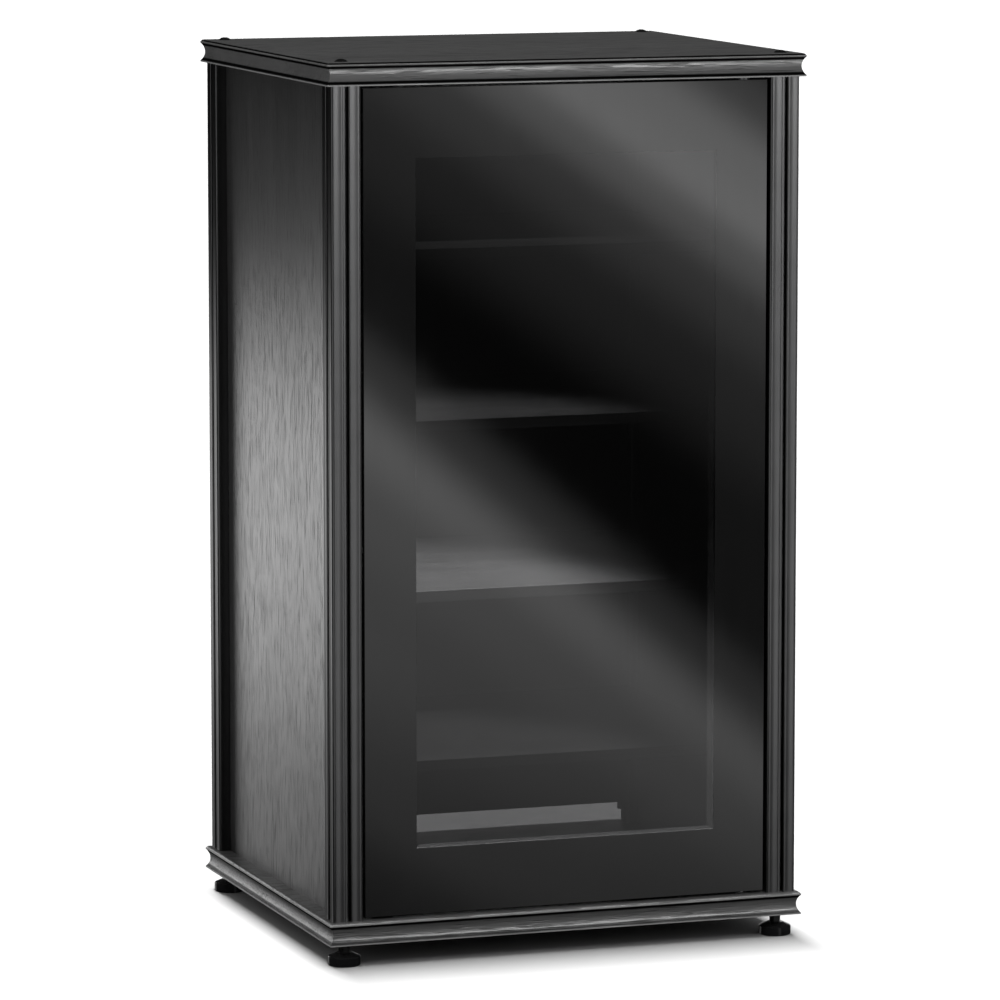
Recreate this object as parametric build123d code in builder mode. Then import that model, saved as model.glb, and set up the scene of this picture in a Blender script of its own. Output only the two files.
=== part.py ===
from build123d import *
import os

# Media cabinet: two moulded boards joined by four slotted aluminium posts, with side and rear
# panels held in the slots of the posts, four shelves on rails, a smoked glass door on pivot
# pins, and four levelling feet.
# Millimetres. The origin is on the floor at the centre of the footprint, the front faces -Y,
# +X is to the right and +Z is up.

os.makedirs("parts", exist_ok=True)


def save(piece, name):
    """Label a finished piece and write it to its own STEP file."""
    piece.part.label = name
    export_step(piece.part, f"parts/{name}.step")


# ---- Driving dimensions ----

WIDTH = 587.0
DEPTH = 511.0
FOOT_HEIGHT = 26.5  # floor to the underside of the bottom board
BOARD = 27.0  # thickness of the top and bottom boards
BODY_HEIGHT = 1023.3  # over both boards

OVERHANG = 6.0  # lip of a board to the face of a post
POST = 36.0  # side of a post
POST_CORNER = 3.0
SLOT = 6.4  # mouth of a post's slot
SLOT_LIP = 3.0
SLOT_CHANNEL_WIDTH = 12.0
SLOT_CHANNEL_DEPTH = 4.0
SLOT_EDGE_ROUND = 1.4
FLUTE_CHORD = 8.0  # shallow hollow down each rib of a post
FLUTE_DEPTH = 0.35
FLUTE_OFFSET = 9.9
CORE_RADIUS = 5.2  # bore down the middle of a post

LIP = 1.6  # thin lips above and below the hollow moulding of a board
COVE_HEIGHT = 21.5
COVE_DEPTH = 4.6
LEDGE = 0.6  # flat on the upper lip, in front of the rounded top edge
TOP_EDGE_RUN = 3.2  # rounded top edge, measured inwards
TOP_EDGE_SWELL = 0.7

PANEL = 12.0  # side panel
PANEL_RECESS = 14.0  # face of a post to the face of the side panel
TONGUE = 6.0  # edge of a panel inside a slot
TONGUE_REACH = 6.0
REAR_PANEL = 6.0
CABLE_SLOT = 26.5  # open above the bottom board and below the top board, behind the shelves

SHELF = 13.0
SHELF_PITCH = 200.0
FIRST_SHELF_TOP = 229.5
SHELF_COUNT = 4
SHELF_HALF_WIDTH = 250.0
SHELF_FRONT_GAP = 9.0  # rear face of a front post to the edge of a shelf, clear of the open door
SHELF_REAR_GAP = 2.5  # edge of a shelf to the rear panel
SHELF_EDGE_ROUND = 0.8

RAIL_SEAT = 25.0  # angle under each end of a shelf
RAIL_LEG = 18.0
RAIL_SHEET = 2.5
RAIL_BEND = 2.0
RAIL_SETBACK = 2.0  # front edge of a shelf to the end of its rails
RAIL_SCREW_COUNT = 3
RAIL_SCREW_PITCH = 180.0
RAIL_SCREW_HEAD_RADIUS = 3.6
RAIL_SCREW_HEAD = 1.8
RAIL_SCREW_SHANK_RADIUS = 1.7
RAIL_SCREW_REACH = 9.0  # into the side panel

DOOR_SIDE_GAP = 3.2
DOOR_END_GAP = 3.0
DOOR_RECESS = 3.6  # face of the posts to the face of the glass
GLASS = 4.0
GLASS_EDGE = 0.6
DOOR_FRAME = 19.0
WINDOW_HALF_WIDTH = 185.0
WINDOW_LOW = 134.5
WINDOW_HIGH = 938.5
DOWEL_RADIUS = 4.0
DOWEL_REACH = 20.0
DOWEL_INSET = 22.0

PIVOT_INSET = 25.0  # edge of the door to the pivot axis
PIVOT_RADIUS = 4.0
PIVOT_IN_DOOR = 28.0
PIVOT_IN_BUSH = 9.0
PIVOT_CLEARANCE = 0.05
BUSH_RADIUS = 7.0
BUSH_DEPTH = 11.0
BUSH_FLANGE_RADIUS = 9.5
BUSH_FLANGE = 1.5
WASHER = 1.4

LATCH_X = -215.0
LATCH_WIDTH = 20.0
LATCH_HEIGHT = 15.0
LATCH_LENGTH = 50.0
LATCH_BEHIND_DOOR = 8.0
LATCH_BORE_RADIUS = 4.3
LATCH_BORE_DEPTH = 44.0
PLUNGER_RADIUS = 4.0
PLUNGER_LENGTH = 30.0
PLUNGER_TIP_GAP = 0.3
STRIKE = 1.6
STRIKE_WIDTH = 24.0
STRIKE_HEIGHT = 12.0
SPRING_RADIUS = 2.9
SPRING_WIRE = 0.4
SPRING_TURNS = 5
SPRING_GAP = 4.6  # behind the plunger, more than its travel
LATCH_SCREW_RADIUS = 1.6
LATCH_SCREW_SPACING = 34.0
LATCH_SCREW_REACH = 10.0
STOP_HEIGHT = 12.0
STOP_WIDTH = 22.0
STOP_DEPTH = 14.0
STOP_PAD = 3.0
STOP_GAP = 3.8  # lets the door be pushed in to free the latch

PAD_RADIUS = 19.0
PAD_WALL = 11.0
PAD_HEIGHT = 15.0
PAD_TOP_RADIUS = 9.0
PAD_EDGE = 1.0
PAD_SOCKET_FLOOR = 4.0
STEM_RADIUS = 4.95
STEM_TOP = 64.0
STEM_LIFT = 0.3  # gap between the end of the stem and the socket
HEX_ACROSS_FLATS = 12.0
HEX_LOW = 15.5
HEX_HIGH = 23.7
INSERT_RADIUS = 8.0
INSERT_FLANGE_RADIUS = 9.0
INSERT_FLANGE = 2.5
INSERT_LENGTH = 20.0
INSERT_BORE_RADIUS = 5.0

HEAD_RADIUS = 8.0  # button heads on the top board
HEAD_HEIGHT = 3.4
HEAD_SOCKET = 5.0
HEAD_SOCKET_DEPTH = 2.0
TOP_SCREW_RADIUS = 5.1
TOP_SCREW_REACH = 45.0
TOP_HOLE_RADIUS = 5.5

CLIP_HEIGHT = 9.0
CLIP_THICKNESS = 5.8
CLIP_LENGTH = 16.0

# ---- Places worked out from them ----

half_width = WIDTH / 2
half_depth = DEPTH / 2
bottom_low = FOOT_HEIGHT
bottom_high = FOOT_HEIGHT + BOARD
top_high = FOOT_HEIGHT + BODY_HEIGHT
top_low = top_high - BOARD
post_length = top_low - bottom_high
post_x = half_width - OVERHANG - POST / 2
post_y = half_depth - OVERHANG - POST / 2
post_inner_x = post_x - POST / 2
post_inner_y = post_y - POST / 2
post_face_y = post_y + POST / 2
corner_places = [
    ("front_left", -post_x, -post_y),
    ("front_right", post_x, -post_y),
    ("rear_left", -post_x, post_y),
    ("rear_right", post_x, post_y),
]
corner_points = [(x, y) for _, x, y in corner_places]

glass_front = -post_face_y + DOOR_RECESS
frame_front = glass_front + GLASS
frame_back = frame_front + DOOR_FRAME
door_middle = (glass_front + frame_back) / 2
frame_middle = (frame_front + frame_back) / 2
door_half_width = post_inner_x - DOOR_SIDE_GAP
door_low = bottom_high + DOOR_END_GAP
door_high = top_low - DOOR_END_GAP
door_height = door_high - door_low
stile_width = door_half_width - WINDOW_HALF_WIDTH
pivot_x = door_half_width - PIVOT_INSET

panel_outer = post_x + POST / 2 - PANEL_RECESS
panel_inner = panel_outer - PANEL
shelf_front = -post_inner_y + SHELF_FRONT_GAP
rear_panel_front = post_y - REAR_PANEL / 2
shelf_back = rear_panel_front - SHELF_REAR_GAP
shelf_middle = (shelf_front + shelf_back) / 2
shelf_depth = shelf_back - shelf_front
shelf_tops = [FIRST_SHELF_TOP + SHELF_PITCH * step for step in range(SHELF_COUNT)]


# ---- Boards ----


def moulded_board(low):
    """Board whose four edges are hollow between two thin lips, with a rounded top edge."""
    cove_low = low + LIP
    cove_high = cove_low + COVE_HEIGHT
    lip_high = cove_high + LIP
    high = low + BOARD
    with BuildPart() as board:
        with BuildSketch(Plane.XY.offset(low)):
            Rectangle(WIDTH, DEPTH)
        extrude(amount=BOARD)
        for plane, reach, run in (
            (Plane.XZ, half_width, DEPTH),
            (Plane.YZ, half_depth, WIDTH),
        ):
            for side in (-1, 1):
                edge = side * reach
                shoulder = side * (reach - LEDGE)
                round_end = side * (reach - LEDGE - TOP_EDGE_RUN)
                with BuildSketch(plane):
                    with BuildLine():
                        SagittaArc((edge, cove_low), (edge, cove_high), side * COVE_DEPTH)
                        Line((edge, cove_high), (edge, cove_low))
                    make_face()
                    with BuildLine():
                        SagittaArc((shoulder, lip_high), (round_end, high), -side * TOP_EDGE_SWELL)
                        Polyline(
                            (round_end, high),
                            (edge, high),
                            (edge, lip_high),
                            (shoulder, lip_high),
                        )
                    make_face()
                extrude(amount=run, both=True, mode=Mode.SUBTRACT)
    return board


with BuildPart() as bottom_board:
    add(moulded_board(bottom_low).part)
    with BuildSketch(Plane.XY.offset(bottom_low)):
        with Locations(*corner_points):
            Circle(INSERT_RADIUS)
    extrude(amount=INSERT_LENGTH, mode=Mode.SUBTRACT)
    with BuildSketch(Plane.XY.offset(bottom_low)):
        with Locations(*corner_points):
            Circle(CORE_RADIUS)
    extrude(amount=BOARD, mode=Mode.SUBTRACT)
    with BuildSketch(Plane.XY.offset(bottom_high)):
        with Locations((pivot_x, door_middle)):
            Circle(BUSH_RADIUS)
    extrude(amount=-BUSH_DEPTH, mode=Mode.SUBTRACT)
save(bottom_board, "bottom_board")

with BuildPart() as top_board:
    add(moulded_board(top_low).part)
    with BuildSketch(Plane.XY.offset(top_low)):
        with Locations(*corner_points):
            Circle(TOP_HOLE_RADIUS)
    extrude(amount=BOARD, mode=Mode.SUBTRACT)
    with BuildSketch(Plane.XY.offset(top_low)):
        with Locations((pivot_x, door_middle)):
            Circle(BUSH_RADIUS)
    extrude(amount=BUSH_DEPTH, mode=Mode.SUBTRACT)
    with BuildSketch(Plane.XY.offset(top_low)):
        with Locations((LATCH_X, frame_back + LATCH_BEHIND_DOOR + LATCH_LENGTH / 2)):
            with Locations((0, -LATCH_SCREW_SPACING / 2), (0, LATCH_SCREW_SPACING / 2)):
                Circle(LATCH_SCREW_RADIUS)
    extrude(amount=LATCH_SCREW_REACH, mode=Mode.SUBTRACT)
save(top_board, "top_board")


# ---- Posts ----

with BuildSketch() as post_section:
    Rectangle(POST, POST)
    fillet(post_section.vertices(), POST_CORNER)
    with PolarLocations(POST / 2 - SLOT_LIP / 2, 4):
        Rectangle(SLOT_LIP, SLOT, mode=Mode.SUBTRACT)
    mouth_edges = post_section.vertices().filter_by(
        lambda corner: abs(max(abs(corner.X), abs(corner.Y)) - POST / 2) < 0.01
        and abs(min(abs(corner.X), abs(corner.Y)) - SLOT / 2) < 0.01
    )
    fillet(mouth_edges, SLOT_EDGE_ROUND)
    with PolarLocations(POST / 2 - SLOT_LIP - SLOT_CHANNEL_DEPTH / 2, 4):
        Rectangle(SLOT_CHANNEL_DEPTH, SLOT_CHANNEL_WIDTH, mode=Mode.SUBTRACT)
    flute_radius = (FLUTE_CHORD**2 / 4 + FLUTE_DEPTH**2) / (2 * FLUTE_DEPTH)
    with PolarLocations(0, 4):
        for side in (-1, 1):
            with Locations((POST / 2 + flute_radius - FLUTE_DEPTH, side * FLUTE_OFFSET)):
                Circle(flute_radius, mode=Mode.SUBTRACT)
    Circle(CORE_RADIUS, mode=Mode.SUBTRACT)

for corner_name, x, y in corner_places:
    with BuildPart() as post:
        with BuildSketch(Plane.XY.offset(bottom_high)):
            with Locations((x, y)):
                add(post_section.sketch)
        extrude(amount=post_length)
    save(post, f"post_{corner_name}")


# ---- Panels ----


def rail_screw_circles(radius):
    """Circles for the screws of every rail on one side, on the open YZ sketch."""
    for top in shelf_tops:
        with Locations((shelf_middle, top - SHELF - RAIL_SHEET - RAIL_LEG / 2)):
            with GridLocations(RAIL_SCREW_PITCH, 1, RAIL_SCREW_COUNT, 1):
                Circle(radius)


for side_name, side in (("left", -1), ("right", 1)):
    with BuildPart() as side_panel:
        with BuildSketch(Plane.XY.offset(bottom_high)):
            with Locations((side * (panel_outer + panel_inner) / 2, 0)):
                Rectangle(PANEL, 2 * post_inner_y)
            with Locations((side * post_x, 0)):
                Rectangle(TONGUE, 2 * (post_inner_y + TONGUE_REACH))
        extrude(amount=post_length)
        with BuildSketch(Plane.YZ.offset(side * panel_inner)):
            rail_screw_circles(RAIL_SCREW_SHANK_RADIUS)
        extrude(amount=side * RAIL_SCREW_REACH, mode=Mode.SUBTRACT)
    save(side_panel, f"side_panel_{side_name}")

rear_low = bottom_high + CABLE_SLOT
rear_high = top_low - CABLE_SLOT
with BuildPart() as rear_panel:
    with BuildSketch(Plane.XY.offset(rear_low)):
        with Locations((0, post_y)):
            Rectangle(2 * (post_inner_x + TONGUE_REACH), REAR_PANEL)
    extrude(amount=rear_high - rear_low)
    chamfer(rear_panel.edges().filter_by(Axis.X), 0.4)
save(rear_panel, "rear_panel")

with BuildPart() as rear_panel_clips:
    for clip_low in (rear_low - CLIP_HEIGHT, rear_high):
        with BuildSketch(Plane.XY.offset(clip_low)):
            for side in (-1, 1):
                with Locations((side * (post_inner_x - CLIP_LENGTH / 2 + TONGUE_REACH), post_y)):
                    Rectangle(CLIP_LENGTH, CLIP_THICKNESS)
        extrude(amount=CLIP_HEIGHT)
save(rear_panel_clips, "rear_panel_clips")


# ---- Shelves and their rails ----

rail_wall = panel_inner - RAIL_SHEET
rail_length = 2 * (-shelf_front - RAIL_SETBACK)
for number, shelf_top in enumerate(shelf_tops, start=1):
    with BuildPart() as shelf:
        with BuildSketch(Plane.XY.offset(shelf_top - SHELF)):
            with Locations((0, shelf_middle)):
                Rectangle(2 * SHELF_HALF_WIDTH, shelf_depth)
        extrude(amount=SHELF)
        fillet(shelf.edges().filter_by(Axis.X), SHELF_EDGE_ROUND)
    save(shelf, f"shelf_{number}")

    seat_high = shelf_top - SHELF
    leg_low = seat_high - RAIL_SHEET - RAIL_LEG
    for side_name, side in (("left", -1), ("right", 1)):
        with BuildPart() as rail:
            with BuildSketch(Plane.XZ.offset(rail_length / 2)):
                with BuildLine():
                    Polyline(
                        (side * panel_inner, leg_low),
                        (side * panel_inner, seat_high),
                        (side * (panel_inner - RAIL_SEAT), seat_high),
                        (side * (panel_inner - RAIL_SEAT), seat_high - RAIL_SHEET),
                        (side * rail_wall, seat_high - RAIL_SHEET),
                        (side * rail_wall, leg_low),
                        close=True,
                    )
                make_face()
            extrude(amount=-rail_length)
            inner_bend = (
                rail.edges()
                .filter_by(Axis.Y)
                .sort_by_distance((side * rail_wall, 0, seat_high - RAIL_SHEET))[0]
            )
            fillet(inner_bend, RAIL_BEND)
            with BuildSketch(Plane.YZ.offset(side * rail_wall)):
                with Locations((shelf_middle, leg_low + RAIL_LEG / 2)):
                    with GridLocations(RAIL_SCREW_PITCH, 1, RAIL_SCREW_COUNT, 1):
                        Circle(RAIL_SCREW_SHANK_RADIUS)
            extrude(amount=side * RAIL_SHEET, mode=Mode.SUBTRACT)
        save(rail, f"shelf_rail_{number}_{side_name}")

with BuildPart() as rail_screws:
    for side in (-1, 1):
        with BuildSketch(Plane.YZ.offset(side * rail_wall)):
            rail_screw_circles(RAIL_SCREW_HEAD_RADIUS)
        extrude(amount=-side * RAIL_SCREW_HEAD)
        with BuildSketch(Plane.YZ.offset(side * rail_wall)):
            rail_screw_circles(RAIL_SCREW_SHANK_RADIUS)
        extrude(amount=side * RAIL_SCREW_REACH)
save(rail_screws, "shelf_rail_screws")


# ---- Top screws ----

dome_radius = (HEAD_RADIUS**2 + HEAD_HEIGHT**2) / (2 * HEAD_HEIGHT)
with BuildPart() as top_screws:
    for x, y in corner_points:
        screw_frame = Plane(origin=(x, y, top_high), x_dir=(1, 0, 0), z_dir=(0, -1, 0))
        with BuildSketch(screw_frame):
            with BuildLine():
                Line((0, HEAD_HEIGHT), (0, -TOP_SCREW_REACH))
                Line((0, -TOP_SCREW_REACH), (TOP_SCREW_RADIUS, -TOP_SCREW_REACH))
                Line((TOP_SCREW_RADIUS, -TOP_SCREW_REACH), (TOP_SCREW_RADIUS, 0))
                Line((TOP_SCREW_RADIUS, 0), (HEAD_RADIUS, 0))
                RadiusArc((0, HEAD_HEIGHT), (HEAD_RADIUS, 0), dome_radius)
            make_face()
        revolve(axis=Axis((x, y, 0), (0, 0, 1)))
        with BuildSketch(Plane.XY.offset(top_high + HEAD_HEIGHT)):
            with Locations((x, y)):
                RegularPolygon(HEAD_SOCKET / 2, 6, major_radius=False)
        extrude(amount=-HEAD_SOCKET_DEPTH, mode=Mode.SUBTRACT)
save(top_screws, "top_screws")


# ---- Door ----

with BuildPart() as door_glass:
    with BuildSketch(Plane.XZ.offset(-glass_front)):
        with Locations((0, (door_low + door_high) / 2)):
            Rectangle(2 * door_half_width, door_height)
    extrude(amount=-GLASS)
    chamfer(door_glass.faces().sort_by(Axis.Y)[0].edges(), GLASS_EDGE)
save(door_glass, "door_glass")

dowel_heights = {
    "bottom": (door_low + DOWEL_INSET, WINDOW_LOW - DOWEL_INSET),
    "top": (WINDOW_HIGH + DOWEL_INSET, door_high - DOWEL_INSET),
}
all_dowel_heights = [height for pair in dowel_heights.values() for height in pair]

for side_name, side in (("left", -1), ("right", 1)):
    with BuildPart() as stile:
        with BuildSketch(Plane.XY.offset(door_low)):
            with Locations((side * (WINDOW_HALF_WIDTH + stile_width / 2), frame_middle)):
                Rectangle(stile_width, DOOR_FRAME)
        extrude(amount=door_height)
        with BuildSketch(Plane.YZ.offset(side * WINDOW_HALF_WIDTH)):
            with Locations(*[(frame_middle, height) for height in all_dowel_heights]):
                Circle(DOWEL_RADIUS)
        extrude(amount=side * DOWEL_REACH, mode=Mode.SUBTRACT)
        if side == 1:
            for end, direction in ((door_low, 1), (door_high, -1)):
                with BuildSketch(Plane.XY.offset(end)):
                    with Locations((pivot_x, door_middle)):
                        Circle(PIVOT_RADIUS)
                extrude(amount=direction * PIVOT_IN_DOOR, mode=Mode.SUBTRACT)
    save(stile, f"door_stile_{side_name}")

for rail_name, low, high in (
    ("bottom", door_low, WINDOW_LOW),
    ("top", WINDOW_HIGH, door_high),
):
    with BuildPart() as cross_rail:
        with BuildSketch(Plane.XY.offset(low)):
            with Locations((0, frame_middle)):
                Rectangle(2 * WINDOW_HALF_WIDTH, DOOR_FRAME)
        extrude(amount=high - low)
        for side in (-1, 1):
            with BuildSketch(Plane.YZ.offset(side * WINDOW_HALF_WIDTH)):
                with Locations(*[(frame_middle, height) for height in dowel_heights[rail_name]]):
                    Circle(DOWEL_RADIUS)
            extrude(amount=-side * DOWEL_REACH, mode=Mode.SUBTRACT)
    save(cross_rail, f"door_rail_{rail_name}")

with BuildPart() as dowels:
    for side in (-1, 1):
        with BuildSketch(Plane.YZ.offset(side * (WINDOW_HALF_WIDTH - DOWEL_REACH))):
            with Locations(*[(frame_middle, height) for height in all_dowel_heights]):
                Circle(DOWEL_RADIUS)
        extrude(amount=side * 2 * DOWEL_REACH)
save(dowels, "door_dowels")


# ---- Pivots ----

for pivot_name, board_face, door_end, direction in (
    ("lower", bottom_high, door_low, 1),
    ("upper", top_low, door_high, -1),
):
    with BuildPart() as pin:
        with BuildSketch(Plane.XY.offset(board_face - direction * PIVOT_IN_BUSH)):
            with Locations((pivot_x, door_middle)):
                Circle(PIVOT_RADIUS)
        extrude(amount=direction * (PIVOT_IN_BUSH + DOOR_END_GAP + PIVOT_IN_DOOR))
        with BuildSketch(Plane.XY.offset(door_end)):
            with Locations((pivot_x, door_middle)):
                Circle(BUSH_RADIUS)
        extrude(amount=-direction * WASHER)
    save(pin, f"{pivot_name}_pivot_pin")

    with BuildPart() as bush:
        with BuildSketch(Plane.XY.offset(board_face)):
            with Locations((pivot_x, door_middle)):
                Circle(BUSH_RADIUS)
        extrude(amount=-direction * BUSH_DEPTH)
        with BuildSketch(Plane.XY.offset(board_face)):
            with Locations((pivot_x, door_middle)):
                Circle(BUSH_FLANGE_RADIUS)
        extrude(amount=direction * BUSH_FLANGE)
        with BuildSketch(Plane.XY.offset(board_face + direction * BUSH_FLANGE)):
            with Locations((pivot_x, door_middle)):
                Circle(PIVOT_RADIUS + PIVOT_CLEARANCE)
        extrude(amount=-direction * (BUSH_FLANGE + PIVOT_IN_BUSH + 1.0), mode=Mode.SUBTRACT)
    save(bush, f"{pivot_name}_pivot_bush")


# ---- Latch, strike and stop ----

latch_front = frame_back + LATCH_BEHIND_DOOR
latch_back = latch_front + LATCH_LENGTH
latch_z = top_low - LATCH_HEIGHT / 2
with BuildPart() as latch_housing:
    with BuildSketch(Plane.XY.offset(top_low)):
        with Locations((LATCH_X, (latch_front + latch_back) / 2)):
            Rectangle(LATCH_WIDTH, LATCH_LENGTH)
    extrude(amount=-LATCH_HEIGHT)
    fillet(latch_housing.edges().filter_by(Axis.Y).group_by(Axis.Z)[0], 2.0)
    with BuildSketch(Plane.XZ.offset(-latch_front)):
        with Locations((LATCH_X, latch_z)):
            Circle(LATCH_BORE_RADIUS)
    extrude(amount=-LATCH_BORE_DEPTH, mode=Mode.SUBTRACT)
save(latch_housing, "latch_housing")

with BuildPart() as latch_screws:
    for end in (-1, 1):
        with BuildSketch(Plane.XY.offset(top_low)):
            with Locations((LATCH_X, (latch_front + latch_back + end * LATCH_SCREW_SPACING) / 2)):
                Circle(LATCH_SCREW_RADIUS)
        extrude(amount=LATCH_SCREW_REACH)
save(latch_screws, "latch_screws")

plunger_tip = frame_back + STRIKE + PLUNGER_TIP_GAP
with BuildPart() as latch_plunger:
    with BuildSketch(Plane.XZ.offset(-plunger_tip)):
        with Locations((LATCH_X, latch_z)):
            Circle(PLUNGER_RADIUS)
    extrude(amount=-PLUNGER_LENGTH)
    fillet(latch_plunger.faces().sort_by(Axis.Y)[0].edges(), 1.0)
save(latch_plunger, "latch_plunger")

spring_start = plunger_tip + PLUNGER_LENGTH + SPRING_GAP
spring_length = latch_front + LATCH_BORE_DEPTH - 2 * SPRING_WIRE - spring_start
with BuildPart() as latch_spring:
    with BuildLine():
        coil = Helix(
            pitch=spring_length / SPRING_TURNS,
            height=spring_length,
            radius=SPRING_RADIUS,
            center=(LATCH_X, spring_start, latch_z),
            direction=(0, 1, 0),
        )
    with BuildSketch(Plane(origin=coil @ 0, z_dir=coil % 0)):
        Circle(SPRING_WIRE)
    sweep(is_frenet=True)
save(latch_spring, "latch_spring")

with BuildPart() as strike_plate:
    with BuildSketch(Plane.XZ.offset(-frame_back)):
        with Locations((LATCH_X, latch_z)):
            RectangleRounded(STRIKE_WIDTH, STRIKE_HEIGHT, 2.0)
    extrude(amount=-STRIKE)
save(strike_plate, "strike_plate")

stop_front = frame_back + STOP_GAP
with BuildPart() as door_stop:
    with BuildSketch(Plane.XY.offset(bottom_high)):
        with Locations((LATCH_X, stop_front + STOP_PAD + STOP_DEPTH / 2)):
            RectangleRounded(STOP_WIDTH, STOP_DEPTH, 2.0)
    extrude(amount=STOP_HEIGHT)
save(door_stop, "door_stop")

with BuildPart() as door_stop_pad:
    with BuildSketch(Plane.XZ.offset(-stop_front - STOP_PAD)):
        with Locations((LATCH_X, bottom_high + STOP_HEIGHT / 2)):
            Circle(STOP_HEIGHT / 2 - 1.0)
    extrude(amount=STOP_PAD)
save(door_stop_pad, "door_stop_pad")


# ---- Feet ----

with BuildPart() as foot_inserts:
    with BuildSketch(Plane.XY.offset(bottom_low - INSERT_FLANGE)):
        with Locations(*corner_points):
            Circle(INSERT_FLANGE_RADIUS)
            Circle(INSERT_BORE_RADIUS, mode=Mode.SUBTRACT)
    extrude(amount=INSERT_FLANGE)
    with BuildSketch(Plane.XY.offset(bottom_low)):
        with Locations(*corner_points):
            Circle(INSERT_RADIUS)
            Circle(INSERT_BORE_RADIUS, mode=Mode.SUBTRACT)
    extrude(amount=INSERT_LENGTH)
save(foot_inserts, "foot_inserts")

for corner_name, x, y in corner_places:
    with BuildPart() as foot_pad:
        foot_frame = Plane(origin=(x, y, 0), x_dir=(1, 0, 0), z_dir=(0, -1, 0))
        with BuildSketch(foot_frame):
            with BuildLine():
                Polyline(
                    (0, 0),
                    (PAD_RADIUS - PAD_EDGE, 0),
                    (PAD_RADIUS, PAD_EDGE),
                    (PAD_RADIUS, PAD_WALL - PAD_EDGE),
                    (PAD_RADIUS - PAD_EDGE, PAD_WALL),
                    (PAD_TOP_RADIUS, PAD_HEIGHT),
                    (INSERT_BORE_RADIUS, PAD_HEIGHT),
                    (INSERT_BORE_RADIUS, PAD_SOCKET_FLOOR),
                    (0, PAD_SOCKET_FLOOR),
                    close=True,
                )
            make_face()
        revolve(axis=Axis((x, y, 0), (0, 0, 1)))
    save(foot_pad, f"foot_pad_{corner_name}")

    with BuildPart() as foot_stem:
        with BuildSketch(Plane.XY.offset(PAD_SOCKET_FLOOR + STEM_LIFT)):
            with Locations((x, y)):
                Circle(STEM_RADIUS)
        extrude(amount=STEM_TOP - PAD_SOCKET_FLOOR - STEM_LIFT)
        with BuildSketch(Plane.XY.offset(HEX_LOW)):
            with Locations((x, y)):
                RegularPolygon(HEX_ACROSS_FLATS / 2, 6, major_radius=False)
        extrude(amount=HEX_HIGH - HEX_LOW)
        chamfer(foot_stem.faces().sort_by(Axis.Z)[-1].edges(), 0.8)
    save(foot_stem, f"foot_stem_{corner_name}")
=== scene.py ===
import math

import bmesh
import bpy
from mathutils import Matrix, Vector

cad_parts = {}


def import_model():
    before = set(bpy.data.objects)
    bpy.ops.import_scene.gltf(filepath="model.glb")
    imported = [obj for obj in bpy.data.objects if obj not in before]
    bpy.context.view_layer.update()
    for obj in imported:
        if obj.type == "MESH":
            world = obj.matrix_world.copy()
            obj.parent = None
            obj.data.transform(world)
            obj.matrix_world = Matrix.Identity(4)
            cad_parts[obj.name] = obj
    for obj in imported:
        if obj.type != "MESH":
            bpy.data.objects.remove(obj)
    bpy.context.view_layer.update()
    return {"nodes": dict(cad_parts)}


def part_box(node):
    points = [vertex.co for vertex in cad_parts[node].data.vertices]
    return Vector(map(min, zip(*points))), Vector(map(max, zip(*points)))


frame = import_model()
scene = bpy.context.scene
nodes = frame["nodes"]

# Looks of a tall media cabinet: black-stained oak boards and side panels, black anodised posts,
# a smoked glass door over a lacquered frame, and screw feet of black plastic. Lengths are in metres.

CORNERS = ["front_left", "front_right", "rear_left", "rear_right"]
SHELVES = range(1, 5)
POSTS = [f"post_{corner}" for corner in CORNERS]
FOOT_PADS = [f"foot_pad_{corner}" for corner in CORNERS]

# The camera's place, at the photograph's viewing angle
EYE = Vector((-2.3387, -6.7187, 1.4581))


# ---- Small helpers for colours and node trees ----


def grey(level):
    return (level, level, level, 1.0)


def scaled(colour, factor):
    """A colour with its three channels multiplied."""
    red, green, blue = colour[:3]
    return (red * factor, green * factor, blue * factor, 1.0)


def put(tree, kind, values=None, **settings):
    """A node with its inputs set: a socket is linked, anything else is a default value."""
    made = tree.nodes.new("ShaderNode" + kind)
    for key, value in settings.items():
        setattr(made, key, value)
    for key, value in (values or {}).items():
        if isinstance(value, bpy.types.NodeSocket):
            tree.links.new(value, made.inputs[key])
        else:
            made.inputs[key].default_value = value
    return made


def maths(tree, operation, first, second=0.0, clamp=False):
    return put(tree, "Math", {0: first, 1: second}, operation=operation, use_clamp=clamp).outputs[0]


def plus(tree, first, *others, clamp=False):
    """The sum of all the values, held between 0 and 1 at the end where clamp is on."""
    for other in others[:-1]:
        first = maths(tree, "ADD", first, other)
    return maths(tree, "ADD", first, others[-1], clamp)


def times(tree, first, *others):
    for other in others:
        first = maths(tree, "MULTIPLY", first, other)
    return first


def swing(tree, pattern, amount):
    """How far a pattern is from its middle of 0.5, times an amount."""
    return times(tree, maths(tree, "SUBTRACT", pattern, 0.5), amount)


def blend(tree, factor, first, second):
    return put(tree, "Mix", {0: factor, 6: first, 7: second}, data_type="RGBA").outputs[2]


def ramp(tree, value, stops, easing="LINEAR"):
    """Grey levels along a value, as (position, level) pairs."""
    made = put(tree, "ValToRGB", {0: value})
    made.color_ramp.interpolation = easing
    elements = made.color_ramp.elements
    while len(elements) < len(stops):
        elements.new(0.5)
    for element, (position, level) in zip(elements, stops):
        element.position = position
        element.color = grey(level)
    return made.outputs[0]


def fitted(tree, value, start, end, low=0.0, high=1.0):
    """The value's run from start to end, turned into low to high and held there outside it."""
    return put(tree, "MapRange", {0: value, 1: start, 2: end, 3: low, 4: high}, clamp=True).outputs[0]


def curve(tree, value, start, end, stops, peak=1.0):
    """A smooth curve over start to end, as (value, level) pairs with no level above the peak."""
    along = fitted(tree, value, start, end)
    pairs = [((at - start) / (end - start), level / peak) for at, level in stops]
    return times(tree, ramp(tree, along, pairs, "EASE"), peak)


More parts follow.
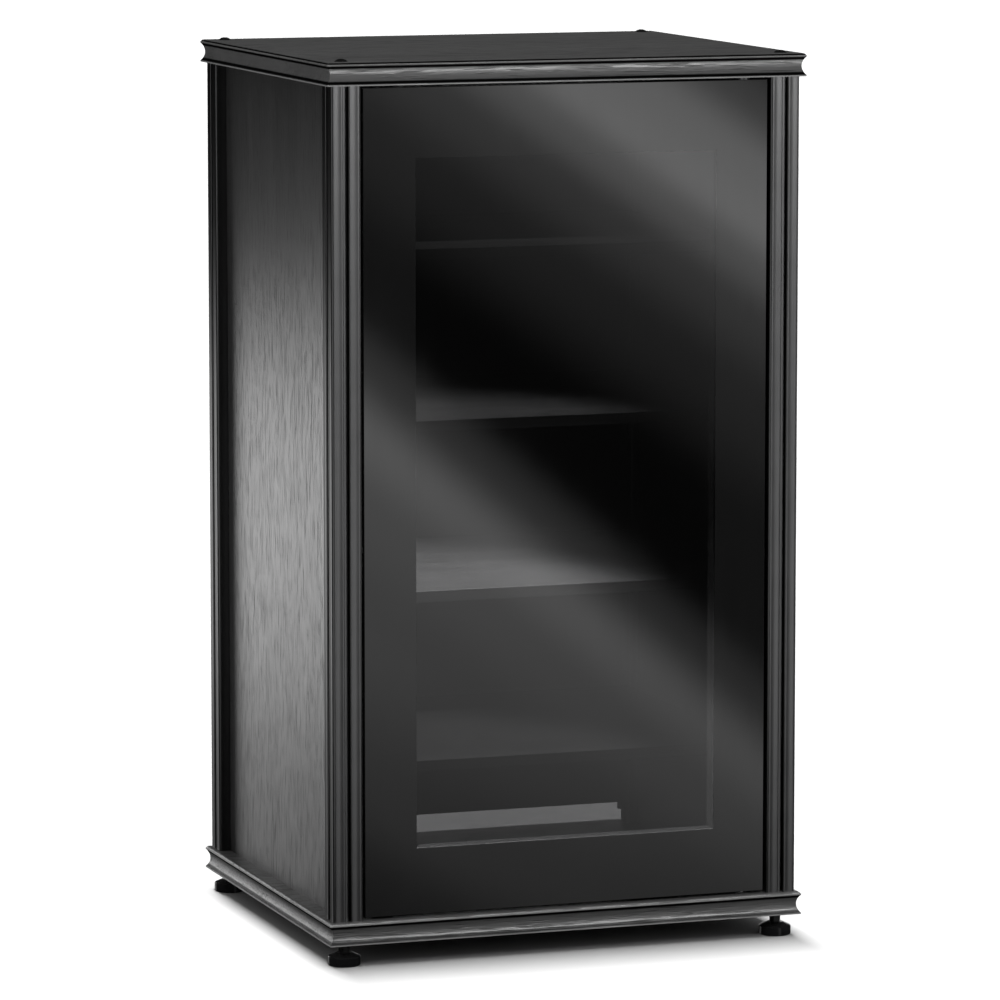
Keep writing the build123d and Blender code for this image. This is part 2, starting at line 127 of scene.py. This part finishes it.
def between(tree, value, span, fade):
    """1 inside a span and 0 outside, with a short fade at both ends."""
    low, high = span
    rise = fitted(tree, value, low - fade, low + fade)
    drop = fitted(tree, value, high - fade, high + fade, 1.0, 0.0)
    return times(tree, rise, drop)


def spot(tree):
    """Place on the object in metres, in the frame of the whole cabinet."""
    return put(tree, "TexCoord").outputs["Object"]


def xyz(tree, vector):
    return put(tree, "SeparateXYZ", {0: vector}).outputs


def stretched(tree, place, scale, shift=(0.0, 0.0, 0.0)):
    """The place scaled along each axis, for streaks along the axis with the small number."""
    return put(tree, "Mapping", {"Vector": place, "Scale": scale, "Location": shift}).outputs[0]


def noise(tree, place, scale=1.0, detail=2.0, roughness=0.5):
    values = {"Vector": place, "Scale": scale, "Detail": detail, "Roughness": roughness}
    return put(tree, "TexNoise", values).outputs["Fac"]


def grain(tree, place, along, run, across, shift=(0.0, 0.0, 0.0), detail=2.0, roughness=0.5):
    """Noise in streaks along one axis. run and across are its scales along the streaks and across them."""
    scale = [across] * 3
    scale["XYZ".index(along)] = run
    return noise(tree, stretched(tree, place, scale, shift), detail=detail, roughness=roughness)


def bumped(tree, height, strength, distance):
    return put(tree, "Bump", {"Height": height, "Strength": strength, "Distance": distance}).outputs[0]


def worn_edge(tree, radius):
    """1 on a sharp outer edge and 0 on the flat, from the turn of the normal there."""
    rounded = put(tree, "Bevel", {"Radius": radius}, samples=4).outputs[0]
    true_normal = put(tree, "NewGeometry").outputs["Normal"]
    along = put(tree, "VectorMath", {0: rounded, 1: true_normal}, operation="DOT_PRODUCT")
    return ramp(tree, along.outputs["Value"], [(0.80, 1.0), (0.985, 0.0)])


def material(name):
    made = bpy.data.materials.new(name)
    made.use_nodes = True
    made.node_tree.nodes.clear()
    return made, made.node_tree


def close(made, tree, shader):
    put(tree, "OutputMaterial", {"Surface": shader.outputs[0]})
    return made


def principled(tree, colour, roughness, ior, normal, metallic=0.0):
    values = {"Base Color": colour, "Roughness": roughness, "IOR": ior, "Normal": normal}
    values["Metallic"] = metallic
    return put(tree, "BsdfPrincipled", values)


# ---- Black-stained oak ----

PORE_BLACK = grey(0.004)
# Pale grey painted on the boards' thin lips as a highlight
LIP_HIGHLIGHT_GREY = grey(0.11)
WORN_OAK = (0.14, 0.135, 0.13, 1.0)
# Dull greys painted on as shade, in the corners of the boards' moulding and on the shelves' front edges
SHADE_PAINT_DARK = grey(0.0008)
SHADE_PAINT_LIGHT = grey(0.0016)
OAK_EDGE = 0.0006  # radius of a worn edge
OAK_RELIEF = 0.0005  # height of the grain, before its strength


def oak(name, along, dark, light, rough, depth, ior=1.5, ripple=0.0, painted_shade=None, painted_light=None, pores=0.7):
    """Stained oak with its grain along one axis.

    depth is the strength of the relief, ripple the swell in it, and pores how strongly the pores show.
    The two mask functions, for painted shade and for a painted highlight, take the node tree: where the
    shade mask gives 1, the oak is painted a dead black with no gloss, and where the highlight mask gives 1,
    it is painted pale.
    """
    made, tree = material(name)
    sway = swing(tree, grain(tree, spot(tree), along, 2.2, 9.0), 0.02)
    drift = put(tree, "CombineXYZ", {0: sway, 1: sway, 2: sway}).outputs[0]
    place = put(tree, "VectorMath", {0: spot(tree), 1: drift}, operation="ADD").outputs[0]
    figure = grain(tree, place, along, 1.6, 34.0, detail=3.0)
    streak = grain(tree, place, along, 10.0, 330.0, detail=3.0, roughness=0.6)
    fibre = grain(tree, place, along, 34.0, 1100.0)
    pore = grain(tree, place, along, 26.0, 700.0, shift=(3.1, 1.7, 0.6), detail=1.0)
    pore = ramp(tree, pore, [(0.56, 0.0), (0.68, 1.0)])

    tone = plus(tree, times(tree, figure, 0.35), times(tree, streak, 0.35), times(tree, fibre, 0.3))
    tone = ramp(tree, tone, [(0.34, 0.0), (0.66, 1.0)])
    colour = blend(tree, tone, dark, light)
    colour = blend(tree, times(tree, pore, pores), colour, PORE_BLACK)
    colour = blend(tree, times(tree, worn_edge(tree, OAK_EDGE), 0.35), colour, WORN_OAK)
    # Painted highlight: where the mask gives 1, the oak is painted pale
    if painted_light:
        colour = blend(tree, times(tree, painted_light(tree), 0.8), colour, LIP_HIGHLIGHT_GREY)

    uneven = swing(tree, streak, 0.3 * pores)
    roughness = plus(tree, rough, uneven, times(tree, pore, 0.3 * pores), clamp=True)
    relief = plus(tree, times(tree, fibre, 0.45), times(tree, pore, -0.9), times(tree, streak, 0.35))
    if ripple:
        relief = plus(tree, relief, times(tree, grain(tree, place, along, 26.0, 240.0, detail=1.0), ripple))
    surface = principled(tree, colour, roughness, ior, bumped(tree, relief, depth, OAK_RELIEF))
    # Painted shade: where the mask gives 1, a dull black diffuse takes the place of the glossy oak
    if painted_shade:
        shade_paint = put(tree, "BsdfDiffuse", {"Color": blend(tree, tone, SHADE_PAINT_DARK, SHADE_PAINT_LIGHT)})
        surface = put(tree, "MixShader", {0: painted_shade(tree), 1: surface.outputs[0], 2: shade_paint.outputs[0]})
    return close(made, tree, surface)


# The profile of a board's edge, as spans of height over its underside
LOWER_LIP = (0.0, 0.0014)
LOW_CORNER = (0.0018, 0.0052)
HIGH_CORNER = (0.0196, 0.0230)
UPPER_LIP = (0.0233, 0.0247)
ROUNDED_EDGE = (0.0250, 0.0266)
CORNER_FADE = 0.0006
LIP_FADE = 0.0003

# Depth of the painted shade on the shelves' front edges
SHADED_FRONT_DEPTH = 0.0006


def height_in(tree, board):
    """Height over the underside of a board."""
    return maths(tree, "SUBTRACT", xyz(tree, spot(tree))[2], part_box(board)[0].z)


def moulding_shade(board, low_share, round_share):
    """Painted shade in both corners of a board's hollow moulding, and on its rounded top edge."""

    def share(tree):
        height = height_in(tree, board)
        low = times(tree, between(tree, height, LOW_CORNER, CORNER_FADE), low_share)
        both = maths(tree, "MAXIMUM", low, between(tree, height, HIGH_CORNER, CORNER_FADE))
        rounded = times(tree, between(tree, height, ROUNDED_EDGE, LIP_FADE), round_share)
        return maths(tree, "MAXIMUM", both, rounded, clamp=True)

    return share


def lip_highlights(board, upper_share):
    """The two thin lips of a board, painted lighter as highlights."""

    def share(tree):
        height = height_in(tree, board)
        upper = times(tree, between(tree, height, UPPER_LIP, LIP_FADE), upper_share)
        return maths(tree, "MAXIMUM", between(tree, height, LOWER_LIP, LIP_FADE), upper)

    return share


def shelf_front_shade(tree):
    """Painted shade: a dark band on the front edge of the shelves, painted a dull black with no gloss."""
    return maths(tree, "LESS_THAN", xyz(tree, spot(tree))[1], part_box("shelf_1")[0].y + SHADED_FRONT_DEPTH)


panel_oak = oak("oak_side", "Z", grey(0.014), grey(0.030), 0.34, depth=0.35, pores=0.4)
top_oak = oak(
    "oak_top",
    "X",
    grey(0.036),
    grey(0.055),
    0.34,
    depth=0.5,
    ripple=1.6,
    painted_shade=moulding_shade("top_board", low_share=1.0, round_share=1.0),
    painted_light=lip_highlights("top_board", upper_share=0.35),
)
base_oak = oak(
    "oak_base",
    "X",
    grey(0.026),
    grey(0.044),
    0.34,
    depth=0.5,
    ripple=1.6,
    painted_shade=moulding_shade("bottom_board", low_share=0.7, round_share=0.0),
    painted_light=lip_highlights("bottom_board", upper_share=1.0),
)
shelf_oak = oak("oak_shelf", "X", grey(0.020), grey(0.05), 0.38, depth=0.35, painted_shade=shelf_front_shade)
rear_oak = oak("oak_rear", "Z", grey(0.016), grey(0.04), 0.5, depth=0.25, ior=1.45)
beech = oak("beech", "X", (0.36, 0.24, 0.14, 1.0), (0.56, 0.42, 0.27, 1.0), 0.5, depth=0.2, ior=1.45)


# ---- Metals ----

METAL_EDGE = 0.0005
FINE_RELIEF = 0.0002


def metal(name, colour, rough, along, drawn, depth, worn=None, metallic=1.0, ior=1.5, scuff=0.18):
    """Fine drawn lines along one axis, small marks, and bright edges where a worn colour is given.

    drawn is how far the lines vary the colour, and scuff how far they and the marks vary the roughness.
    """
    made, tree = material(name)
    place = spot(tree)
    lines = grain(tree, place, along, 6.0, 2600.0, detail=3.0, roughness=0.6)
    cloud = noise(tree, place, scale=28.0, detail=4.0)
    grit = noise(tree, place, scale=2400.0, detail=1.0)
    shade = plus(tree, times(tree, lines, 0.55), times(tree, cloud, 0.45))
    shade = ramp(tree, shade, [(0.35, 0.0), (0.65, 1.0)])
    base = blend(tree, shade, scaled(colour, 1.0 - drawn), scaled(colour, 1.0 + drawn))
    if worn:
        patches = ramp(tree, cloud, [(0.3, 0.1), (0.7, 0.7)])
        base = blend(tree, times(tree, worn_edge(tree, METAL_EDGE), patches), base, worn)
    roughness = plus(tree, rough, swing(tree, lines, scuff), swing(tree, cloud, scuff), clamp=True)
    height = plus(tree, times(tree, lines, 0.7), times(tree, grit, 0.3))
    normal = bumped(tree, height, depth, FINE_RELIEF)
    return close(made, tree, principled(tree, base, roughness, ior, normal, metallic))


post_metal = metal(
    "anodised_post",
    (0.095, 0.095, 0.096),
    0.30,
    "Z",
    drawn=0.06,
    depth=0.02,
    worn=(0.2, 0.2, 0.205, 1.0),
    scuff=0.06,
)
rail_metal = metal(
    "anodised_rail",
    (0.03, 0.03, 0.031),
    0.38,
    "Y",
    drawn=0.3,
    depth=0.10,
    worn=grey(0.12),
    metallic=0.0,
    ior=1.7,
)
screw_steel = metal("black_oxide", grey(0.004), 0.28, "X", drawn=0.3, depth=0.12, metallic=0.0)
strike_steel = metal(
    "black_strike",
    grey(0.03),
    0.4,
    "X",
    drawn=0.3,
    depth=0.12,
    worn=grey(0.15),
    metallic=0.0,
    ior=1.6,
)
plated = metal("zinc_plated", (0.46, 0.46, 0.47), 0.3, "Z", drawn=0.15, depth=0.12, worn=grey(0.62))
spring_wire = metal("spring_wire", grey(0.52), 0.22, "Y", drawn=0.12, depth=0.1, worn=grey(0.66))


# ---- Plastics, rubber and lacquer ----

PLASTIC_IOR = 1.5
DUST = (0.3, 0.29, 0.28, 1.0)
# Pale grey painted on as a highlight, along the lit inner edges of the door's frame
EDGE_HIGHLIGHT_GREY = grey(0.12)


def moulded(name, colour, rough, stipple_scale, depth, dust=0.0, painted_edge_light=None):
    """Moulded or rubbery surface, with fine stipple and broad unevenness.

    dust is how much lies on what faces up. The edge highlight is a function of the node tree that gives 1
    where a pale grey is painted on as a highlight.
    """
    made, tree = material(name)
    place = spot(tree)
    stipple = noise(tree, place, scale=stipple_scale)
    cloud = noise(tree, place, scale=36.0, detail=4.0)
    shade = ramp(tree, cloud, [(0.35, 0.0), (0.65, 1.0)])
    base = blend(tree, shade, scaled(colour, 0.75), scaled(colour, 1.3))
    if dust:
        up = xyz(tree, put(tree, "NewGeometry").outputs["Normal"])[2]
        fall = times(tree, maths(tree, "MAXIMUM", up, 0.0), dust, stipple)
        base = blend(tree, fall, base, DUST)
    # Painted highlight: a pale grey where the mask gives 1
    if painted_edge_light:
        base = blend(tree, painted_edge_light(tree), base, EDGE_HIGHLIGHT_GREY)
    roughness = plus(tree, rough, swing(tree, stipple, 0.15), swing(tree, cloud, 0.2), clamp=True)
    normal = bumped(tree, stipple, depth, FINE_RELIEF)
    return close(made, tree, principled(tree, base, roughness, PLASTIC_IOR, normal))


WINDOW_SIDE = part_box("door_stile_right")[0].x
WINDOW_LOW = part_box("door_rail_bottom")[1].z
WINDOW_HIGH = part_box("door_rail_top")[0].z


def inside_window(tree, margin=0.0):
    """1 inside the outline of the door's window, made larger all round by the margin."""
    x, _, z = xyz(tree, spot(tree))
    inside = maths(tree, "LESS_THAN", maths(tree, "ABSOLUTE", x), WINDOW_SIDE + margin)
    above = maths(tree, "GREATER_THAN", z, WINDOW_LOW - margin)
    below = maths(tree, "LESS_THAN", z, WINDOW_HIGH + margin)
    return times(tree, inside, above, below)


def window_edge(tree):
    """The inner edges of the door's frame, which lie in the outline of its window, where a highlight is
    painted.
    """
    return inside_window(tree, margin=0.0005)


foot_plastic = moulded("foot_plastic", (0.008, 0.008, 0.0085), 0.13, 1500.0, depth=0.08, dust=0.03)
latch_plastic = moulded("latch_plastic", (0.022, 0.022, 0.023), 0.42, 1900.0, depth=0.3)
nylon = moulded("bush_nylon", grey(0.02), 0.4, 1500.0, depth=0.15)
rubber = moulded("stop_rubber", grey(0.02), 0.62, 2200.0, depth=0.4)
# The frame's edges around the window get a painted highlight
lacquer = moulded("door_lacquer", (0.010, 0.010, 0.0105), 0.26, 420.0, depth=0.06, painted_edge_light=window_edge)


# ---- Smoked glass, painted black outside the window ----

HEAD_ON_SHINE = 0.0426  # share of the light that glass mirrors when looked at straight on


def smoked_glass():
    made, tree = material("smoked_glass")
    place = spot(tree)
    smear = noise(tree, stretched(tree, place, (14.0, 14.0, 5.0)), detail=4.0)
    streaks = noise(tree, stretched(tree, place, (60.0, 60.0, 6.0)))
    tint = blend(tree, smear, (0.288, 0.288, 0.29, 1.0), (0.304, 0.304, 0.306, 1.0))
    paint = blend(tree, smear, grey(0.004), grey(0.006))
    seen_through = put(tree, "BsdfTransparent", {"Color": tint})
    painted = put(tree, "BsdfDiffuse", {"Color": paint})
    shaders = {0: inside_window(tree), 1: painted.outputs[0], 2: seen_through.outputs[0]}
    body = put(tree, "MixShader", shaders)
    polish = plus(tree, 0.03, times(tree, streaks, 0.04))
    wave = bumped(tree, noise(tree, place, scale=3.0, detail=1.0), 0.02, 0.002)
    gloss = put(tree, "BsdfGlossy", {"Color": grey(1.0), "Roughness": polish, "Normal": wave})
    # Schlick's curve, because a Fresnel node makes the back face of the sheet a full mirror at a slant
    turned = put(tree, "LayerWeight", {"Blend": 0.5, "Normal": wave}).outputs["Facing"]
    shine = times(tree, maths(tree, "POWER", turned, 5.0), 1.0 - HEAD_ON_SHINE)
    shine = plus(tree, HEAD_ON_SHINE, shine)
    return close(made, tree, put(tree, "MixShader", {0: shine, 1: body.outputs[0], 2: gloss.outputs[0]}))


glass = smoked_glass()


# ---- Materials on the CAD nodes ----


def dress(look, *names):
    for name in names:
        mesh = nodes[name].data
        mesh.materials.clear()
        mesh.materials.append(look)


dress(top_oak, "top_board")
dress(base_oak, "bottom_board")
dress(panel_oak, "side_panel_left", "side_panel_right")
dress(rear_oak, "rear_panel")
dress(shelf_oak, *[f"shelf_{number}" for number in SHELVES])
dress(post_metal, *POSTS)
dress(rail_metal, *[f"shelf_rail_{number}_{side}" for number in SHELVES for side in ("left", "right")])
dress(screw_steel, "top_screws", "shelf_rail_screws", "latch_screws", "rear_panel_clips")
dress(screw_steel, *[f"foot_stem_{corner}" for corner in CORNERS])
dress(strike_steel, "strike_plate")
dress(lacquer, "door_stile_left", "door_stile_right", "door_rail_top", "door_rail_bottom")
dress(glass, "door_glass")
dress(beech, "door_dowels")
dress(plated, "lower_pivot_pin", "upper_pivot_pin", "foot_inserts")
dress(nylon, "lower_pivot_bush", "upper_pivot_bush")
dress(latch_plastic, "latch_housing", "latch_plunger", "door_stop")
dress(spring_wire, "latch_spring")
dress(rubber, "door_stop_pad")
dress(foot_plastic, *FOOT_PADS)


# ---- Floor ----

FLOOR_REACH = 40.0
FLOOR_CARD_DROP = 0.01  # how far the cards that stand in for the floor lie under it


def flat_mesh(name, outline):
    """One face through the given points, in the frame of the cabinet."""
    mesh = bpy.data.meshes.new(name)
    made = bmesh.new()
    made.faces.new([made.verts.new(point) for point in outline])
    made.to_mesh(mesh)
    made.free()
    sheet = bpy.data.objects.new(name, mesh)
    scene.collection.objects.link(sheet)
    return sheet


def level_outline(low, high, z):
    """A level rectangle, given by its lowest and highest x and y."""
    return [(low[0], low[1], z), (high[0], low[1], z), (high[0], high[1], z), (low[0], high[1], z)]


def upright_outline(start, end, low, high):
    """An upright rectangle, given by the (x, y) of its two sides and its lowest and highest z."""
    return [(*start, low), (*end, low), (*end, high), (*start, high)]


def floor():
    sheet = flat_mesh("floor", level_outline((-FLOOR_REACH, -FLOOR_REACH), (FLOOR_REACH, FLOOR_REACH), 0.0))
    look, tree = material("floor_paper")
    shade = blend(tree, noise(tree, spot(tree), scale=3.0, detail=3.0), grey(0.29), grey(0.31))
    sheet.data.materials.append(close(look, tree, put(tree, "BsdfDiffuse", {"Color": shade})))
    sheet.visible_glossy = False
    return sheet


ground = floor()


# ---- Lamps and cards ----


def world():
    """Soft light, most of it from above, dim in reflections and white behind the object."""
    made = bpy.data.worlds.new("studio")
    made.use_nodes = True
    tree = made.node_tree
    tree.nodes.clear()
    ray = put(tree, "LightPath").outputs
    up = xyz(tree, spot(tree))[2]
    dome = curve(tree, up, 0.0, 1.0, [(0.02, 0.15), (0.35, 0.55), (0.9, 0.8)])
    dimmed = maths(tree, "SUBTRACT", 1.0, times(tree, ray["Is Glossy Ray"], 0.96))
    strength = maths(tree, "MAXIMUM", times(tree, dome, dimmed), ray["Is Camera Ray"])
    backdrop = put(tree, "Background", {"Color": grey(1.0), "Strength": strength})
    put(tree, "OutputWorld", {"Surface": backdrop.outputs[0]})
    scene.world = made


def placed_lamp(name, light, place, target, glossy=False):
    """A lamp that shines from a place to a target. It shows in reflections only where glossy is on."""
    made = bpy.data.objects.new(name, light)
    scene.collection.objects.link(made)
    made.location = place
    made.rotation_mode = "QUATERNION"
    made.rotation_quaternion = (Vector(target) - Vector(place)).to_track_quat("-Z", "Y")
    made.visible_camera = False
    made.visible_glossy = glossy
    return made


def softbox(name, place, target, size, power, glossy=False):
    light = bpy.data.lights.new(name, "AREA")
    light.shape = "RECTANGLE"
    light.size, light.size_y = size
    light.energy = power
    return placed_lamp(name, light, place, target, glossy)


def beam(name, place, target, angle, edge, power):
    light = bpy.data.lights.new(name, "SPOT")
    light.spot_size = angle
    light.spot_blend = edge
    light.shadow_soft_size = 0.05
    light.energy = power
    return placed_lamp(name, light, place, target)


def overhead(name, place, angle, strength):
    light = bpy.data.lights.new(name, "SUN")
    light.angle = angle
    light.energy = strength
    return placed_lamp(name, light, place, (0.0, 0.0, 0.0))


def shine_on(lamp, receivers, clear=()):
    """The lamp lights only these objects. Every CAD node shades it, apart from the clear ones."""
    lit = bpy.data.collections.new(lamp.name + "_lit")
    for thing in receivers:
        lit.objects.link(thing)
    lamp.light_linking.receiver_collection = lit
    shading = bpy.data.collections.new(lamp.name + "_shade")
    for name in sorted(set(nodes) - set(clear)):
        shading.objects.link(nodes[name])
    lamp.light_linking.blocker_collection = shading


def shine_on_nodes(lamp, names, clear=()):
    shine_on(lamp, [nodes[name] for name in names], clear)


def card(name, outline, glow):
    """A glowing card that only shows in reflections. glow(tree, place) gives its strength at a place."""
    board = flat_mesh(name, outline)
    look, tree = material(name)
    emitter = put(tree, "Emission", {"Color": grey(1.0), "Strength": glow(tree, spot(tree))})
    board.data.materials.append(close(look, tree, emitter))
    look.cycles.emission_sampling = "NONE"
    board.visible_camera = False
    board.visible_diffuse = False
    board.visible_shadow = False
    board.visible_transmission = False
    board.visible_volume_scatter = False


def even(level):
    """A glow of about one strength. The noise that it follows has its middle at 0.5."""

    def glow(tree, place):
        return times(tree, noise(tree, place, scale=0.5, detail=0.0), level / 0.5)

    return glow


def faded(level, low, high):
    """A glow that fades out towards the sides of a level card, given by its lowest and highest x and y."""

    def glow(tree, place):
        shade = level
        for at, start, end in zip(xyz(tree, place), low, high):
            rim = 0.3 * (end - start)
            stops = [(start, 0.0), (start + rim, 1.0), (end - rim, 1.0), (end, 0.0)]
            shade = times(tree, shade, curve(tree, at, start, end, stops))
        return shade

    return glow


def floor_card(name, low, high, level):
    """Stands in for the bright floor in reflections."""
    card(name, level_outline(low, high, -FLOOR_CARD_DROP), faded(level, low, high))


# ---- The two bands of light in the door ----

# The door mirrors a card ahead of it and to its right, outside the camera's view. The bands on the card are
# laid out on the door's own plane, then enlarged by what the mirror does over the distance to the card.
GLASS_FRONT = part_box("door_glass")[0].y
CARD_AHEAD = 2.5
GROWTH = 1.0 + CARD_AHEAD / (GLASS_FRONT - EYE.y)
SHIFT = EYE * (GROWTH - 1.0)

UPPER_BAND = [
    (-0.19, 0.2),
    (-0.12, 0.85),
    (-0.05, 2.4),
    (0.02, 2.7),
    (0.07, 1.5),
    (0.13, 0.62),
    (0.23, 0.25),
    (0.38, 0.03),
]
LOWER_BAND = [
    (-0.05, 0.0),
    (0.02, 0.5),
    (0.10, 1.85),
    (0.18, 1.2),
    (0.3, 0.9),
    (0.5, 0.8),
    (0.62, 0.45),
    (0.78, 0.2),
]
LOWER_LEFT_DIMMING = [(-0.04, 0.2), (0.08, 0.55), (0.28, 1.0)]


def slope(tree, x, z, by_x, by_z, offset):
    """by_x * x + by_z * z + offset."""
    return plus(tree, times(tree, x, by_x), times(tree, z, by_z), offset)


def door_bands(tree, place):
    card_x, _, card_z = xyz(tree, place)
    x = times(tree, plus(tree, card_x, SHIFT.x), 1.0 / GROWTH)
    z = times(tree, plus(tree, card_z, SHIFT.z), 1.0 / GROWTH)
    upper = curve(tree, slope(tree, x, z, -0.7, -1.0, 1.035), -0.2, 0.45, UPPER_BAND, 3.0)
    lower = curve(tree, slope(tree, x, z, -0.854, -1.0, 0.512), -0.1, 0.8, LOWER_BAND, 2.0)
    dimming = curve(tree, slope(tree, x, z, 0.45, 1.0, 0.0), -0.05, 0.3, LOWER_LEFT_DIMMING)
    return plus(tree, upper, times(tree, lower, slope(tree, x, z, -0.75, 0.0, 0.85), dimming))


def door_card(left, right, low, high):
    """The card, given by where its sides lie on the door's plane."""
    start, end = [(x * GROWTH - SHIFT.x, GLASS_FRONT - CARD_AHEAD) for x in (left, right)]
    bottom, top = [z * GROWTH - SHIFT.z for z in (low, high)]
    card("door_card", upright_outline(start, end, bottom, top), door_bands)


# ---- The sheen of the left side ----

# A tall softbox behind the cabinet on its left, graded in height
SIDE_LOW = -0.5
SIDE_HIGH = 1.0
SIDE_WIDTH = 0.9
SIDE_GLOW = [
    (-0.45, 0.38),
    (-0.1, 1.05),
    (0.1, 2.4),
    (0.3, 2.8),
    (0.45, 2.5),
    (0.56, 1.0),
    (0.66, 0.08),
    (0.9, 0.0),
]


def side_softbox(name, strength, receivers):
    """Shows in the left faces of these CAD nodes, with the strength that suits their finish."""
    middle = (SIDE_LOW + SIDE_HIGH) / 2
    size = (SIDE_WIDTH, SIDE_HIGH - SIDE_LOW)
    power = strength * math.pi * size[0] * size[1]
    lamp = softbox(name, (-0.9, 1.6, middle), (-0.9, 0.0, middle), size, power, glossy=True)
    lamp.visible_diffuse = False
    lamp.data.use_nodes = True
    tree = lamp.data.node_tree
    tree.nodes.clear()
    share = xyz(tree, put(tree, "NewGeometry").outputs["Parametric"])[1]
    z = fitted(tree, share, 0.0, 1.0, SIDE_LOW, SIDE_HIGH)
    lit = put(tree, "Emission", {"Strength": curve(tree, z, SIDE_LOW, SIDE_HIGH, SIDE_GLOW, 3.0)})
    put(tree, "OutputLight", {"Surface": lit.outputs[0]})
    shine_on_nodes(lamp, receivers)


# ---- The lighting, from the whole scene to single pieces ----

world()
sun = overhead("overhead", (0.35, 0.7, 3.0), math.radians(65.0), strength=4.3)
shine_on(sun, nodes.values())

# Far away, so that it lights the floor evenly, and long in depth, so that the shadow is soft
floor_light = softbox("floor_light", (0.0, 6.2, 160.0), (0.0, 0.0, 0.0), (4.5, 19.5), power=820000.0)
shine_on(floor_light, [ground], clear=["bottom_board"])
softbox("front_key", (-1.0, -3.0, 2.8), (0.0, -0.2, 0.9), (1.2, 1.2), power=25.0)

door_card(left=-0.34, right=0.34, low=-0.05, high=1.15)
side_softbox("side_softbox", 1.0, sorted(set(nodes) - {"top_board", "bottom_board"} - set(POSTS)))
side_softbox("side_softbox_base", 1.35, ["bottom_board"])
side_softbox("side_softbox_posts", 0.43, POSTS)

# The cards that the other faces show. The one at the back ends below the top board's upper face, so that
# this face doesn't show it.
card("right_card", upright_outline((3.5, -1.2), (3.5, 1.2), -0.4, 1.6), even(0.9))
card("front_card", upright_outline((-0.36, -3.2), (0.30, -3.2), -0.2, 1.0), even(0.35))
card("back_card", upright_outline((0.6, 3.2), (3.4, 3.2), -0.3, 1.04), even(1.0))
card("left_card", upright_outline((-3.4, -3.2), (-3.4, -0.8), -0.3, 1.6), even(1.0))
floor_card("floor_front_left", (-4.0, -4.0), (-0.2, -0.3), 1.0)
floor_card("floor_back_right", (0.4, 0.3), (4.0, 4.0), 1.2)

# Pools of light on the shelves. Each beam has its shelf, how far it starts over the shelf as a share of
# POOL_RISE, half its height where it reaches the shelf, and its power. All are stretched to one width.
POOL_AHEAD = 2.5
POOL_RISE = 2.2
POOL_X = -0.14
POOL_Y = -0.22
POOL_HALF_WIDTH = 0.25
POOLS = [
    ("shelf_1", 0.67, 0.18, 5000.0),
    ("shelf_2", 0.51, 0.165, 27000.0),
    ("shelf_3", 0.55, 0.125, 7500.0),
    ("shelf_4", 0.9, 0.12, 1800.0),
]
for shelf, share, half_height, power in POOLS:
    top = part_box(shelf)[1].z
    place = (POOL_X, -POOL_AHEAD, top + POOL_RISE * share)
    angle = 2.0 * math.atan(half_height / POOL_AHEAD)
    pool = beam(shelf.replace("shelf", "pool"), place, (POOL_X, POOL_Y, top), angle, edge=0.45, power=power)
    pool.scale.x = POOL_HALF_WIDTH / half_height
    shine_on_nodes(pool, [shelf], clear=["door_glass"])

# A line of light along two sides of the door's window
for name, power in (("door_rail_bottom", 1800.0), ("door_stile_right", 450.0)):
    place = (-1.0, -1.6, 1.3)
    edge = beam(f"{name}_edge", place, (-0.04, -0.24, 0.16), math.radians(22.0), edge=0.7, power=power)
    shine_on_nodes(edge, [name], clear=["door_glass"])

# Strips that draw the hollow moulding of each board
TOP_EDGE = (0.0, -0.25, 1.04)
BASE_EDGE = (0.0, -0.25, 0.04)
TOP_SIDE_EDGE = (-0.29, 0.0, 1.04)
strip = softbox("top_moulding", (0.22, -1.15, 0.45), TOP_EDGE, (1.2, 0.22), power=16.0, glossy=True)
shine_on_nodes(strip, ["top_board"])
strip = softbox("base_moulding", (0.45, -1.2, 0.9), BASE_EDGE, (1.2, 0.3), power=21.0, glossy=True)
shine_on_nodes(strip, ["bottom_board"])
strip = softbox("top_side_moulding", (-1.4, -0.1, 0.75), TOP_SIDE_EDGE, (1.0, 0.3), power=10.0)
shine_on_nodes(strip, ["top_board"])

# A strip that shows in the faces of the posts and on the feet
strip = softbox("post_strip", (0.95, -2.9, 0.9), (0.0, -0.25, 0.55), (0.7, 1.5), power=29.0, glossy=True)
strip.visible_diffuse = False
shine_on_nodes(strip, POSTS + FOOT_PADS)


# ---- Camera ----

CAMERA_DIP = 0.1333
CAMERA_TURN = 0.3354

lens = bpy.data.cameras.new("camera")
lens.sensor_width = 36.0
lens.lens = 214.71
lens.clip_start = 0.1
lens.clip_end = 200.0
camera = bpy.data.objects.new("camera", lens)
scene.collection.objects.link(camera)
camera.location = EYE
camera.rotation_euler = (math.pi / 2 - CAMERA_DIP, 0.0, -CAMERA_TURN)
scene.camera = camera

scene.view_settings.view_transform = "Standard"
scene.view_settings.look = "None"
